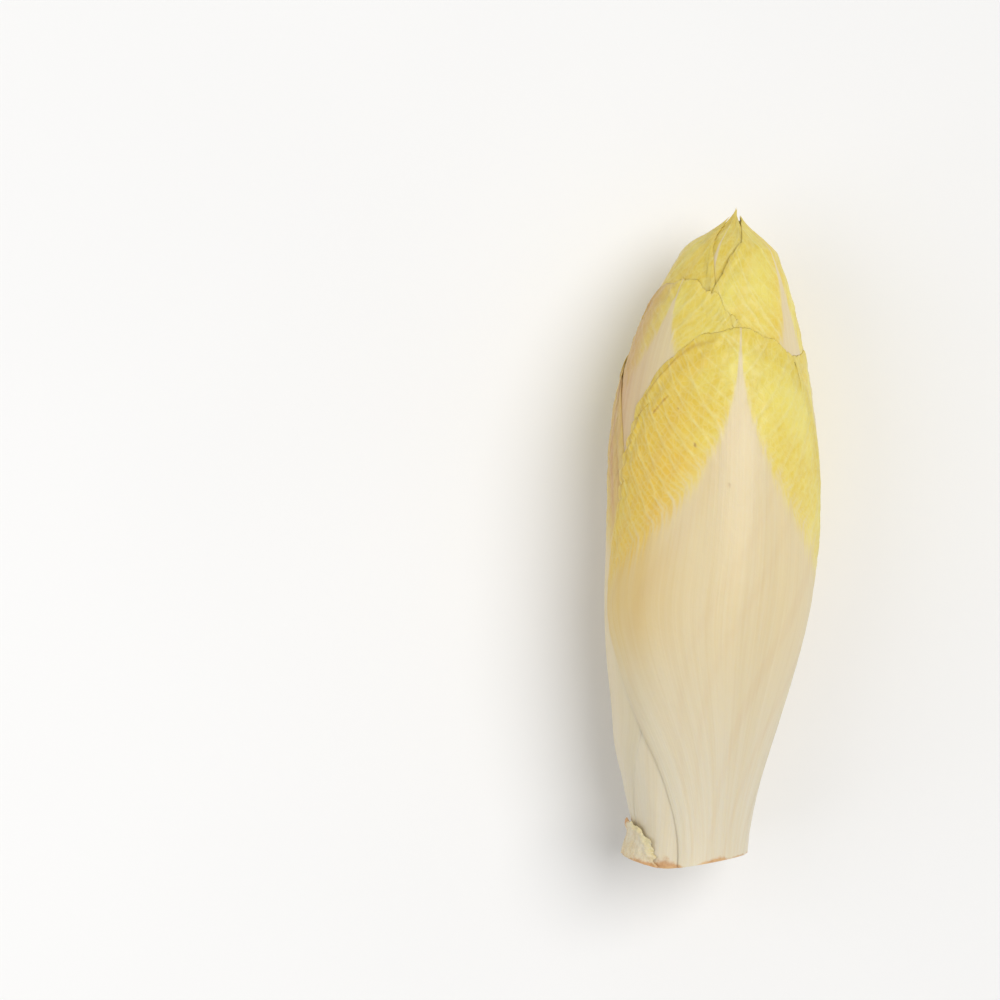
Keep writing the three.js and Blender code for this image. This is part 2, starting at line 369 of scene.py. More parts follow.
veinPath = {
    "startScatter": 0.42,  # how unevenly they leave the rib, over their spacing
    "reach": 1.03,         # they end just past the leaf's outline
    "bow": 0.75,           # how steeply a vein rises where it leaves the rib
    "bowGain": 0.45,       # and how much more at the margin
    "bowScatter": 0.16, "noiseApart": 7.31, "noiseAlong": 5.0,
    "thinning": -0.55,     # a vein's width falls towards the margin
    "widthAtRib": 1.15, "puckerScale": 330.0, "puckerLevel": 0.6,
    "onBlade": 0.82,       # the relief is weak on the rib and full on the blade
    "onRib": 0.18,
}


def makeVeinTree():
    # Veins run side by side up the midrib, leave it one after another and fan out to the margin.
    # They are drawn on the flattened leaf, and each point of the leaf rises by how near one it is.
    inputs = {
        "Geometry": "NodeSocketGeometry", "Veins Each Side": 12, "Points Per Vein": 40,
        "Flat Half Width": 0.026, "Flat Length": 0.1, "Rib Start": 0.5, "Rib Width": 1.1, "Rib Power": 2.2,
        "Fan Rise": 1.1, "Wander": 0.0006, "Vein Width": 0.0007, "Vein Height": 0.00012,
        "Pucker Height": 0.0001, "Seed": 1, "Mask Name": "NodeSocketString", "Skin": "NodeSocketMaterial",
    }
    tree, g, result = newGroup("leafVeins", "GeometryNodeTree", inputs, "Geometry", "NodeSocketGeometry")
    p = veinPath
    perSide, perVein = g["Veins Each Side"], g["Points Per Vein"]
    roots = firstOut(tree, "GeometryNodeMeshLine", {"Count": times(perSide, 2.0)})
    strand = firstOut(tree, "GeometryNodeMeshLine", {"Count": perVein})
    laid = firstOut(tree, "GeometryNodeInstanceOnPoints", {"Points": roots, "Instance": strand})
    real = firstOut(tree, "GeometryNodeRealizeInstances", {"Geometry": laid})
    # which vein, on which side, and how far along it
    index = firstOut(tree, "GeometryNodeInputIndex")
    which = calc("FLOOR", over(plus(index, 0.5), perVein))
    step = minus(index, times(which, perVein))
    t = over(step, minus(perVein, 1.0))
    right = calc("GREATER_THAN", which, minus(perSide, 0.5))
    side = linear(right, 2.0, -1.0)
    order = minus(which, times(right, perSide))
    start = over(plus(order, 0.5), perSide)
    # where it leaves the narrowing midrib
    chances = {2: -1.0, 3: 1.0, 7: which, 8: g["Seed"]}
    chance = addNode(tree, "FunctionNodeRandomValue", chances, data_type="FLOAT").outputs[1]
    start = plus(start, over(times(chance, p["startScatter"]), perSide))
    narrow = calc("POWER", over(start, g["Rib Width"]), over(1.0, g["Rib Power"]))
    leave = linear(minus(1.0, narrow), minus(1.0, g["Rib Start"]), g["Rib Start"])
    # its first half runs up the rib, and the second fans out
    low = times(t, 2.0, clamp=True)
    high = linear(t, 2.0, -1.0, clamp=True)
    out = linear(minus(p["reach"], start), high, start)
    flatX = times(out, g["Flat Half Width"])
    gone = times(minus(out, start), g["Flat Half Width"])
    bow = linear(high, p["bowGain"], p["bow"])
    bow = times(bow, linear(chance, p["bowScatter"], 1.0))
    rise = times(times(gone, g["Fan Rise"]), bow)
    flatY = linear(times(low, leave), g["Flat Length"], rise)
    # no vein is quite straight
    noisePlace = {"X": times(which, p["noiseApart"]), "Y": times(t, p["noiseAlong"]), "Z": g["Seed"]}
    stray = noise(firstOut(tree, "ShaderNodeCombineXYZ", noisePlace), 1.0, 2.0)
    aside = times(minus(stray, 0.5), times(g["Wander"], 4.0))
    flatX = times(plus(flatX, aside), side)
    at = firstOut(tree, "ShaderNodeCombineXYZ", {"X": flatX, "Y": flatY})
    veins = firstOut(tree, "GeometryNodeSetPosition", {"Geometry": real, "Position": at})
    # the leaf rises near a vein, and puckers between them
    flat = storedValue(tree, "flat", "FLOAT_VECTOR")
    near = addNode(tree, "GeometryNodeProximity", {0: veins}, target_element="EDGES")
    for socket in near.inputs:
        if socket.name in ("Sample Position", "Source Position"):
            tree.links.new(flat, socket)
    taper = linear(calc("ABSOLUTE", storedValue(tree, "across")), p["thinning"], p["widthAtRib"])
    mask = between(near.outputs["Distance"], times(g["Vein Width"], taper), 0.0)
    pucker = noise(scaled(flat, p["puckerScale"]), 1.0, 1.5)
    swell = times(minus(pucker, p["puckerLevel"]), g["Pucker Height"])
    height = linear(mask, g["Vein Height"], swell)
    height = times(height, linear(storedValue(tree, "blade"), p["onBlade"], p["onRib"]))
    height = times(height, storedValue(tree, "relief"))
    lift = scaled(firstOut(tree, "GeometryNodeInputNormal"), height)
    kept = {"Geometry": g["Geometry"], "Name": g["Mask Name"], "Value": mask}
    named = firstOut(tree, "GeometryNodeStoreNamedAttribute", kept, data_type="FLOAT", domain="POINT")
    raised = firstOut(tree, "GeometryNodeSetPosition", {"Geometry": named, "Offset": lift})
    whole = firstOut(tree, "GeometryNodeRealizeInstances", {"Geometry": raised})
    skinned = firstOut(tree, "GeometryNodeSetMaterial", {"Geometry": whole, "Material": g["Skin"]})
    feed(tree, skinned, result)
    return tree


def applyTree(obj, tree, values):
    # runs a tree over an object and keeps its result as a plain mesh
    layer = obj.modifiers.new(tree.name, "NODES")
    layer.node_group = tree
    sockets = {item.name: item.identifier for item in tree.interface.items_tree if item.in_out == "INPUT"}
    for label, value in values.items():
        layer[sockets[label]] = value
    bpy.context.view_layer.update()
    made = bpy.data.meshes.new_from_object(obj.evaluated_get(bpy.context.evaluated_depsgraph_get()))
    obj.modifiers.remove(layer)
    old = obj.data
    obj.data = made
    bpy.data.meshes.remove(old)


# Effects that more than one finish uses.

def objectPlace(tree):
    return addNode(tree, "ShaderNodeTexCoord").outputs["Object"]


def makeStreakGroup():
    # long soft streaks up a leaf, from its flattened place
    inputs = {"Flat": "NodeSocketVector", "Across Scale": 900.0, "Along Scale": 25.0, "Detail": 3.0}
    tree, given, result = newGroup("streaks", "ShaderNodeTree", inputs, "Value")
    scale = firstOut(tree, "ShaderNodeCombineXYZ", {"X": given["Across Scale"], "Y": given["Along Scale"]})
    stretched = {0: given["Flat"], 1: scale}
    at = firstOut(tree, "ShaderNodeVectorMath", stretched, operation="MULTIPLY")
    feed(tree, between(noise(at, 1.0, given["Detail"], 0.6), 0.28, 0.72), result)
    return tree


def makeMottleGroup():
    # soft cloudy patches in the object's own space
    inputs = {"Scale": 120.0, "Detail": 3.0}
    tree, given, result = newGroup("mottle", "ShaderNodeTree", inputs, "Value")
    cloud = noise(objectPlace(tree), given["Scale"], given["Detail"], 0.55)
    feed(tree, between(cloud, 0.35, 0.65), result)
    return tree


def makeBrowningGroup():
    # patchy browning where cut tissue has met the air
    inputs = {"Where": 0.0, "Scale": 500.0, "Reach": 0.5}
    tree, given, result = newGroup("browning", "ShaderNodeTree", inputs, "Mask")
    patch = plus(given["Where"], noise(objectPlace(tree), given["Scale"], 4.0, 0.7))
    patch = plus(minus(patch, 1.0), given["Reach"])
    feed(tree, between(patch, 0.0, 0.35), result)
    return tree


def makeCellGroup():
    # a fine network, such as the smallest veins or cut tissue
    inputs = {"Vector": "NodeSocketVector", "Scale": 600.0, "Width": 0.12}
    tree, given, result = newGroup("cells", "ShaderNodeTree", inputs, "Lines")
    sockets = {"Vector": given["Vector"], "Scale": given["Scale"]}
    cells = addNode(tree, "ShaderNodeTexVoronoi", sockets, feature="DISTANCE_TO_EDGE")
    feed(tree, between(cells.outputs["Distance"], given["Width"], 0.0), result)
    return tree


effects = {
    "streaks": makeStreakGroup(),
    "mottle": makeMottleGroup(),
    "browning": makeBrowningGroup(),
    "cells": makeCellGroup(),
}


def effect(tree, name, values):
    group = addNode(tree, "ShaderNodeGroup", node_tree=effects[name])
    for key, value in values.items():
        feed(tree, value, group.inputs[key])
    return group.outputs[0]


def mixColour(amount, a, b):
    sockets = {0: amount, 6: a, 7: b}
    return addNode(owner(amount), "ShaderNodeMix", sockets, data_type="RGBA", blend_type="MIX").outputs[2]


def layered(colour, layers):
    # lays colours over one another, each with where it shows and how strongly
    for where, strength, above in layers:
        colour = mixColour(times(where, strength), colour, above)
    return colour


def readAttribute(tree, name, output="Fac"):
    return addNode(tree, "ShaderNodeAttribute", attribute_name=name).outputs[output]


def newMaterial(name, constants):
    material = bpy.data.materials.new(name)
    material.use_nodes = True
    tree = material.node_tree
    shader = tree.nodes["Principled BSDF"]
    for key, value in constants.items():
        shader.inputs[key].default_value = value
    return material, tree, shader


def finishSkin(tree, shader, colour, rough, height, grainStrength, grainDepth):
    bump = {"Strength": grainStrength, "Distance": grainDepth, "Height": height}
    feed(tree, colour, shader.inputs["Base Color"])
    feed(tree, rough, shader.inputs["Roughness"])
    feed(tree, firstOut(tree, "ShaderNodeBump", bump), shader.inputs["Normal"])


# What a leaf's mesh carries for its skin, besides its flattened place.
leafMasks = ["along", "blade", "beyond", "edge", "gold", "tan", "warm", "vein", "veinlet", "cut", "face",
             "scar"]


def leafSkin(name, look):
    constants = {
        "Subsurface Weight": 0.18, "Subsurface Scale": 0.0022, "Subsurface Radius": (1.0, 0.8, 0.35),
        "Coat Weight": 0.12, "Coat Roughness": 0.28, "Specular IOR Level": 0.42,
    }
    material, tree, shader = newMaterial(name, constants)
    m = {mask: readAttribute(tree, mask) for mask in leafMasks}
    flat = readAttribute(tree, "flat", "Vector")
    broad = effect(tree, "streaks", {"Flat": flat, "Across Scale": 260.0, "Along Scale": 9.0})
    fine = effect(tree, "streaks", {"Flat": flat, "Across Scale": 1500.0, "Along Scale": 30.0, "Detail": 4.0})
    cloud = effect(tree, "mottle", {"Scale": 90.0})
    grain = effect(tree, "mottle", {"Scale": 700.0, "Detail": 5.0})
    net = effect(tree, "cells", {"Vector": flat, "Scale": 620.0, "Width": 0.16})
    cells = effect(tree, "cells", {"Vector": objectPlace(tree), "Scale": 1300.0, "Width": 0.2})
    rust = effect(tree, "browning", {"Where": m["cut"], "Scale": 300.0, "Reach": look["rustReach"]})
    # the white rib: greener at the foot, creamier above, and with painted shade, warmer and darker, on one
    # side of the uppermost leaf
    rib = mixColour(between(m["along"], 0.08, 0.55), look["ribFoot"], look["ribTop"])
    rib = layered(rib, [
        (broad, 0.55, look["ribStreak"]),
        (fine, 0.25, look["ribLight"]),
        # painted shade on the uppermost leaf's side away from the light
        (m["warm"], linear(broad, 0.35, 0.6), look["warm"]),
    ])
    # the yellow blade with its pale veins
    blade = layered(mixColour(cloud, look["bladeDeep"], look["blade"]), [
        (grain, 0.35, look["bladeLight"]),
        # painted shade on the uppermost leaf's side away from the light, random golden patches on the others
        (m["gold"], linear(cloud, 0.3, 0.6), look["gold"]),
        (m["edge"], 0.35, look["bladeDeep"]),
        (net, 0.16, look["veinTint"]),
        (m["veinlet"], 0.26, look["veinTint"]),
        (m["vein"], 0.34, look["veinTint"]),
    ])
    # they meet in a ragged line, and pale veins run out of the rib into the yellow
    ragged = linear(minus(fine, 0.5), look["raggedness"], m["blade"])
    ragged = between(ragged, 0.15, 0.85)
    pale = linear(m["vein"], look["paleVein"], linear(m["veinlet"], look["paleVeinlet"], 0.12))
    pale = times(minus(1.0, m["beyond"]), pale, clamp=True)
    ragged = times(ragged, minus(1.0, pale))
    flesh = mixColour(grain, look["flesh"], look["fleshDeep"])
    # over both: the dried tan, made darker on the leaves at the head's left side as painted shade, the cut
    # face, the browning above it and small scars
    colour = layered(mixColour(ragged, rib, blade), [
        (m["tan"], linear(broad, 0.4, 0.5), look["tan"]),
        (m["face"], 1.0, layered(flesh, [(cells, 0.35, look["ribLight"])])),
        (rust, 0.8, mixColour(grain, look["rust"], look["rustLight"])),
        (m["scar"], 1.0, look["scar"]),
    ])
    rough = linear(ragged, 0.07, linear(fine, 0.1, look["roughness"]))
    height = linear(fine, 0.6, times(grain, 0.5))
    height = linear(times(net, ragged), 0.8, height)
    finishSkin(tree, shader, colour, rough, height, 0.35, 0.08 * mm)
    return material


# The gold colour is painted shade on the uppermost leaf and a random tone on the others; the warm colour is
# painted shade; the tan one is partly painted shade.
outerLook = {
    "ribFoot": (0.73, 0.66, 0.51), "ribTop": (0.78, 0.63, 0.35), "ribStreak": (0.70, 0.57, 0.34),
    "ribLight": (0.84, 0.76, 0.56), "blade": (0.85, 0.70, 0.14), "bladeDeep": (0.78, 0.58, 0.07),
    "bladeLight": (0.87, 0.75, 0.23), "veinTint": (0.86, 0.77, 0.36), "gold": (0.82, 0.50, 0.04),
    "tan": (0.61, 0.36, 0.16), "warm": (0.76, 0.52, 0.15), "flesh": (0.76, 0.66, 0.42),
    "fleshDeep": (0.66, 0.52, 0.28), "rust": (0.50, 0.21, 0.05), "rustLight": (0.66, 0.36, 0.13),
    "scar": (0.34, 0.13, 0.03), "rustReach": 0.04, "roughness": 0.36, "raggedness": 0.34,
    "paleVein": 0.5, "paleVeinlet": 0.4,
}
middleLook = {**outerLook, "blade": (0.82, 0.65, 0.12), "bladeDeep": (0.72, 0.51, 0.05)}
innerLook = {
    **outerLook, "blade": (0.84, 0.74, 0.30), "bladeDeep": (0.78, 0.65, 0.20), "ribTop": (0.86, 0.80, 0.60),
}

skins = {
    "outer": leafSkin("outerLeafSkin", outerLook),
    "middle": leafSkin("middleLeafSkin", middleLook),
    "inner": leafSkin("innerLeafSkin", innerLook),
}
print("finishes made")


# Leaf meshes.

# The leaves of each kind: how finely they are made, and how much their margins ruffle.
leafKinds = {
    "outer": {"from": 0, "to": 6, "across": 180, "along": 224, "ruffle": 0.2, "tooth": 0.7},
    "middle": {"from": 6, "to": 12, "across": 120, "along": 150, "ruffle": 0.4, "tooth": 0.45},
    "inner": {"from": 12, "to": 18, "across": 72, "along": 96, "ruffle": 0.3, "tooth": 0.3},
}

# Small marks on the uppermost leaf: across, along, half size in mm, strength.
scarSpots = [(0.324, 0.78, 0.42, 0.85), (0.08, 0.71, 0.4, 0.5), (0.47, 0.845, 0.28, 0.5)]
scarLine = {"from": (0.576, 0.869), "to": (0.69, 0.835), "halfWidth": 0.5, "strength": 0.6}
foldLine = (0.3, 0.955, 0.012)    # a thin crease just inside one margin: strength, where, how wide
# Leaves beside it that have dried pinkish and tanned, made darker still with painted shade where they lie at
# the head's left side, away from the light:
# strength, middle and half width across the leaf, and between which parts of its length the colour comes in.
tanAndShadePatches = {1: (1.2, -0.78, 0.24, 0.5, 0.75), 3: (1.1, 0.42, 0.3, 0.5, 0.7)}
# How far the air has browned the leaves above the cut, in mm, and how strongly.
cutBrowning = {"depth": 0.9, "strength": 0.72, "uneven": 0.26, "patchDepth": 1.5, "patchStrength": 0.5}
cutPatches = [(112, 15, 1.0), (60, 9, 0.45)]    # where it is strongest: azimuth, half width, amount


def bladeMask(leaf, across, along, before, after):
    # 0 on the white rib and 1 on the yellow blade, changing from before the rib's edge to after it
    f = leafForm
    x = np.clip((along - leaf["ribStart"]) / (1 - leaf["ribStart"]), 0, 1)
    rib = f["ribWidth"] * (1 - x) ** f["ribPower"]
    mask = smooth(rib * (1 - before) - 0.01, rib * (1 + after) + 0.02, np.abs(across))
    return mask * smooth(*f["bladeReach"], along)


def shadeAndGoldMask(leaf, across, along):
    # painted shade: the side of the uppermost leaf away from the light is a deeper yellow; on the other
    # leaves the deeper yellow comes and goes at random
    if leaf["index"] == 0:
        return smooth(0.05, 0.6, across + 0.06 * ripple(along * 6, 91)) * smooth(0.35, 0.55, along)
    return 0.35 * smooth(-0.4, 0.9, ripple(across * 1.5 + along * 2, 92 + leaf["index"]))


# dried tanned flecks at random; on the listed patches the colour is also painted shade
def tanAndShadeMask(leaf, across, along):
    if leaf["index"] in tanAndShadePatches:
        strength, middle, half, low, high = tanAndShadePatches[leaf["index"]]
        return hump(across, strength, middle, half) * smooth(low, high, along)
    return 0.12 * smooth(0.2, 1.2, ripple(across * 3 + along * 5, 120 + leaf["index"]))


def warmShadeMask(leaf, across, along):
    # painted shade: below its yellow, the uppermost leaf is tinted warmer and darker on its side away from
    # the light
    if leaf["index"]:
        return np.zeros_like(across)
    low = smooth(0.28, 0.5, along) * (1 - smooth(0.62, 0.8, along))
    return smooth(0.2, 0.9, across + 0.1 * ripple(along * 3, 95)) * low


def cutMask(azimuth, s):
    c = cutBrowning
    depth = c["depth"]
    strength = c["strength"] + c["uneven"] * ripple(azimuth / 55, 140)
    for middle, half, amount in cutPatches:
        patch = hump(turnFrom(azimuth, middle), amount, 0, half)
        depth = depth + c["patchDepth"] * patch
        strength = strength + c["patchStrength"] * patch
    return np.exp(-s * headLength / depth) * strength


def scarMask(leaf, u, out, across, along):
    # spots, a scratch and a crease on the uppermost leaf, from the places on its flattened face
    mask = np.zeros_like(across)
    if leaf["index"]:
        return mask
    size = np.array(flatSize(leaf))
    point = np.stack([across, along], axis=-1) * size
    for spotAcross, spotAlong, half, strength in scarSpots:
        far = np.linalg.norm(point - size * (spotAcross, spotAlong), axis=-1)
        mask = np.maximum(mask, strength * (1 - smooth(0.4 * half, half, far)))
    start, run = size * scarLine["from"], size * np.subtract(scarLine["to"], scarLine["from"])
    t = np.clip((point - start) @ run / (run @ run), 0, 1)
    far = np.linalg.norm(point - (start + t[..., None] * run), axis=-1) + 0.06 * ripple(t * 3, 5)
    wide = scarLine["halfWidth"] * (0.45 + 2.2 * t * (1 - t))
    line = scarLine["strength"] * (1 - smooth(0.1 * wide, wide, far)) * (0.7 + 0.3 * np.sin(t * 9))
    fold = hump(out, *foldLine) * smooth(0.2, 0.5, u) * smooth(0.55, 0.7, along)
    return np.maximum(np.maximum(mask, line), fold)


def flatSize(leaf):
    # half width and length of the leaf when it is pressed flat, in millimetres
    middle = (leaf["foot"] + leaf["tip"]) / 2
    inward = leaf["index"] / (leafCount - 1)
    radius = float(headProfile(np.array(middle))) * blend(1.0, 0.3, inward)
    return math.radians(float(leafHalfWidth(leaf, np.array(middle)))) * radius, leaf["length"]


def crowdedGrid(form):
    # rows and columns from -1 to 1 across and 0 to 1 along, closer together near the margin
    def crowded(t):
        return blend(t, np.sin(t * math.pi / 2), leafForm["crowding"])

    across, along = np.linspace(-1, 1, form["across"] + 1), np.linspace(0, 1, form["along"] + 1)
    return np.meshgrid(crowded(across), crowded(along))


def rimMeasure(u, v):
    # 0 in the middle of the foot, 1 all round the margin
    return np.sqrt(np.clip(u ** 2 + v ** 2 - (u * v) ** 2, 0, 1))


def closing(out, power):
    # how far apart the two faces are: 1 over most of a leaf, 0 at its margin
    return np.sqrt(np.clip(1 - out ** power, 0, 1))


# Margins: heights are parts of the leaf's width, reaches are parts of its length or width.
marginForm = {
    "straight": 0.62,             # the part of the rows below the rounded end
    "wave": 6.5,                  # length of one wave of the outline, in mm
    "uneven": 0.012, "toothHeight": 0.022, "toothMost": 1.3,
    "toothMiddle": 0.25,          # smaller teeth at the leaf's end
    "toothAlong": (0.35, 0.6), "toothAside": (0.35, 0.7),
    "ruffleFrom": 0.72, "ruffleAlong": (0.3, 0.65),
    "lift": 0.08,                 # mm
    "insideLift": 0.1,            # how much of the lift the inner face follows
    "coverReach": (0.12, 0.45),   # under so many mm of another leaf a margin stays down
    "tuck": (0.18, 0.9, 0.03),    # a shallow groove inside the margin: mm, where, how wide
    "tuckAlong": (0.4, 0.7),
}
stepForm = {"height": 0.034, "aside": (0.6, 0.8), "start": (0.64, 0.7), "end": (0.84, 0.9), "fall": (0.72, 1)}


def marginSteps(u, out, along, rim):
    # one margin of the uppermost leaf has a row of small steps
    f = stepForm
    where = smooth(*f["aside"], u) * smooth(*f["start"], along) * (1 - smooth(*f["end"], along)) * out ** 16
    step = np.mod(rim, 1)
    return f["height"] * (step - smooth(*f["fall"], step) - 0.3) * where


def leafGrid(leaf, kind):
    # the outer and inner faces of a leaf as two grids of points, and what each point carries
    f = leafForm
    m = marginForm
    u, v = crowdedGrid(kind)
    low = np.clip(v / m["straight"], 0, 1)
    high = np.clip((v - m["straight"]) / (1 - m["straight"]), 0, 1)
    seed = 10 * leaf["index"]
    across = u * np.sqrt(1 - high ** 2 / 2)
    end = high * np.sqrt(1 - u ** 2 / 2)
    fuller = np.hypot(across, end) / (outlineMeasure(leaf, across, end) + 1e-9)
    across = across * fuller
    end = end * fuller
    s = blend(leaf["foot"], leaf["shoulder"], low) + end * leaf["tipReach"]
    out = rimMeasure(u, high)
    along = (s - leaf["foot"]) / (leaf["tip"] - leaf["foot"])
    # small teeth and a slightly uneven outline, in the upper half
    rim = s * headLength / m["wave"] + u * (3 + 4 * high)
    toothed = np.maximum(0, ripple(rim, seed + 1)) ** 2 * smooth(*m["toothAlong"], along) * out ** 10
    sides = blend(m["toothMiddle"], 1, smooth(*m["toothAside"], np.abs(u)))
    toothed = np.minimum(toothed, m["toothMost"]) * sides
    uneven = m["uneven"] * ripple(rim / 4, seed + 2) * out ** 4 - kind["tooth"] * m["toothHeight"] * toothed
    if leaf["index"] == 0:
        uneven = uneven + marginSteps(u, out, along, rim)
    azimuth = leafAzimuth(leaf, s) + across * leafHalfWidth(leaf, s) * (1 + uneven)
    s = s + (end > 0) * uneven * leaf["tipReach"] * end
    outer, inner = wallAround(leaf["index"], azimuth, s)
    # how thick the leaf is: a fat rib at the foot, a thin sheet at the margin and the tip
    rib = blend(f["ribThickness"], f["tipThickness"], smooth(0, 1, along))
    margin = blend(f["footMargin"], f["marginThickness"], smooth(0, 0.2, along))
    sheet = blend(rib, margin, smooth(0.25, 0.95, out))
    gap = blend(f["footGap"], f["bodyGap"], smooth(*f["bodyReach"], s))
    gap = blend(gap, f["gap"], smooth(*f["freeReach"], s))
    thickness = np.clip(np.minimum(outer - inner - gap, sheet), f["thinnest"], None)
    close = closing(out, f["closePower"])
    # the margin lifts and dips a little, but not where another leaf covers it
    edge = smooth(m["ruffleFrom"], 1, out) * smooth(*m["ruffleAlong"], along)
    wave = np.clip(0.5 + 0.5 * ripple(rim * 0.55, seed + 3), 0, 1.4)
    free = np.clip(outer / 14, 0.1, 1) * (1 - smooth(*m["coverReach"], skinRadius(azimuth, s) - outer))
    shift = edge * free * (kind["ruffle"] * wave + m["lift"])
    shift = shift - hump(out, *m["tuck"]) * smooth(*m["tuckAlong"], along)
    within = outer - thickness + shift * m["insideLift"]
    outside = place(azimuth, blend(within, outer + shift, close), s)
    inside = place(azimuth, within, s)
    half, long = flatSize(leaf)
    carried = {
        "flat": np.stack([across * half * mm, along * long * mm, np.zeros_like(u)], axis=-1),
        "across": across,
        "along": along,
        "blade": bladeMask(leaf, across, along, 0.45, 0.22),
        "beyond": bladeMask(leaf, across, along, 0.0, 0.5),
        "edge": smooth(0.8, 1, out) * smooth(0.4, 0.7, along),
        "cut": cutMask(azimuth, s),
        "face": np.zeros_like(u),
        "gold": shadeAndGoldMask(leaf, across, along),
        "tan": tanAndShadeMask(leaf, across, along),
        "warm": warmShadeMask(leaf, across, along),
        "scar": scarMask(leaf, u, out, across, along),
        "relief": close * (1 - smooth(0.93, 1, out)) * smooth(0.0, 0.02, s + (leaf["foot"] > 0)),
    }
    return outside, inside, carried


def addObject(name, data):
    obj = bpy.data.objects.new(name, data)
    bpy.context.scene.collection.objects.link(obj)
    return obj


def meshObject(name, points, faces, sharp=()):
    mesh = bpy.data.meshes.new(name)
    mesh.from_pydata(points, [], faces)
    mesh.shade_smooth()
    marks = {tuple(sorted(pair)) for pair in sharp}
    for edge in mesh.edges if marks else ():
        edge.use_edge_sharp = tuple(sorted(edge.vertices)) in marks
    return addObject(name, mesh)


def setAttribute(obj, name, values):
    kind, field = ("FLOAT_VECTOR", "vector") if values.ndim == 2 else ("FLOAT", "value")
    layer = obj.data.attributes.new(name, kind, "POINT")
    layer.data.foreach_set(field, values.astype(np.float32).ravel())


# The cut face of a foot: bundles stand a little proud of it, and it is slightly hollow.
footForm = {"bundleHeight": 0.14, "bundleWidth": 0.22, "bundleStep": 0.55, "hollow": 0.1, "uneven": 0.05}


def quads(a, b, c, d):
    return np.stack([a, b, c, d], axis=-1).reshape(-1, 4).tolist()


def shellObject(name, outside, inside, carried, footRows):
    # closes two grids into one skin: they share their points at the sides and the tip,
    # and the cut face at the foot has rows of its own
    f = footForm
    rows, columns = outside.shape[:2]
    outer = np.arange(rows * columns).reshape(rows, columns)
    inner = outer.copy()
    own = np.ones((rows, columns), bool)
    own[:, 0] = own[:, -1] = own[-1, :] = False
    inner[own] = rows * columns + np.arange(own.sum())
    first = rows * columns + own.sum()
    part = (np.arange(1, footRows) / footRows)[:, None]
    column = np.arange(1, columns - 1)
    face = np.repeat(outer[:1], footRows + 1, axis=0)
    face[-1] = inner[0]
    face[1:-1, 1:-1] = first + np.arange((footRows - 1) * (columns - 2)).reshape(footRows - 1, columns - 2)
    cutPoints = blend(outside[0, 1:-1], inside[0, 1:-1], part[:, :, None])
    bundle = hump(part, 1, 0.5, f["bundleWidth"]) * (0.5 + 0.5 * np.cos(column * f["bundleStep"]))
    proud = f["bundleHeight"] * bundle - f["hollow"] + f["uneven"] * ripple(part * 3 + column / 9, 61)
    cutPoints[..., 1] -= proud * mm
    points = np.concatenate([outside.reshape(-1, 3), inside[own], cutPoints.reshape(-1, 3)])
    front = quads(outer[:-1, :-1], outer[1:, :-1], outer[1:, 1:], outer[:-1, 1:])
    back = quads(inner[:-1, :-1], inner[:-1, 1:], inner[1:, 1:], inner[1:, :-1])
    foot = quads(face[:-1, :-1], face[:-1, 1:], face[1:, 1:], face[1:, :-1])
    faces = [list(dict.fromkeys(corners)) for corners in front + back + foot]
    faces = [corners for corners in faces if len(corners) > 2]
    sharp = [(int(a), int(b)) for row in (face[0], face[-1]) for a, b in zip(row, row[1:])]
    obj = meshObject(name, points.tolist(), faces, sharp)
    onCut = {"face": 1.0, "relief": 0.0, "cut": blend(0.5, 0.95, np.abs(part * 2 - 1) ** 2)}
    for key, values in carried.items():
        under = values[own] * (key != "relief")
        ends = np.repeat(values[:1, 1:-1], footRows - 1, axis=0)
        if key in onCut:
            ends = ends * 0 + onCut[key]
        width = values.shape[2:]
        parts = [values.reshape(-1, *width), under.reshape(-1, *width), ends.reshape(-1, *width)]
        setAttribute(obj, key, np.concatenate(parts))
    return obj


def finishPiece(obj, node, skin=None):
    if skin:
        obj.data.materials.append(skin)
    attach(obj, "root")
    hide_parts(node)


def restOnFloor(obj):
    # nothing reaches below the surface that the head lies on
    for point in obj.data.vertices:
        if point.co.z < 0:
            point.co.z = 0
    obj.data.update()


veinTree = makeVeinTree()
veinLook = {
    "vein": {
        "Veins Each Side": 13, "Points Per Vein": 48, "Vein Width": 0.46 * mm, "Vein Height": 0.13 * mm,
        "Pucker Height": 0.55 * mm, "Wander": 1.1 * mm, "Fan Rise": 1.25,
    },
    "veinlet": {
        "Veins Each Side": 38, "Points Per Vein": 40, "Vein Width": 0.4 * mm, "Vein Height": 0.05 * mm,
        "Pucker Height": 0.0, "Wander": 0.7 * mm, "Fan Rise": 0.75,
    },
}


def makeLeafPiece(leaf, kindName, number):
    outside, inside, carried = leafGrid(leaf, leafKinds[kindName])
    footRows = leafForm["footRows"] if leaf["foot"] == 0 else 2
    obj = shellObject(f"{kindName}Leaf{number}", outside, inside, carried, footRows)
    half, long = flatSize(leaf)
    for maskName, look in veinLook.items():
        applyTree(obj, veinTree, {
            **look,
            "Flat Half Width": half * mm, "Flat Length": long * mm,
            "Rib Start": leaf["ribStart"], "Rib Width": leafForm["ribWidth"],
            "Rib Power": leafForm["ribPower"], "Seed": leaf["index"] + 1,
            "Mask Name": maskName, "Skin": skins[kindName],
        })
    restOnFloor(obj)
    finishPiece(obj, f"{kindName}_leaf_{number}")


for kindName, kind in leafKinds.items():
    for leaf in leaves[kind["from"]:kind["to"]]:
        makeLeafPiece(leaf, kindName, leaf["index"] - kind["from"] + 1)
    print(kindName, "leaves made")


# The bud in the heart.

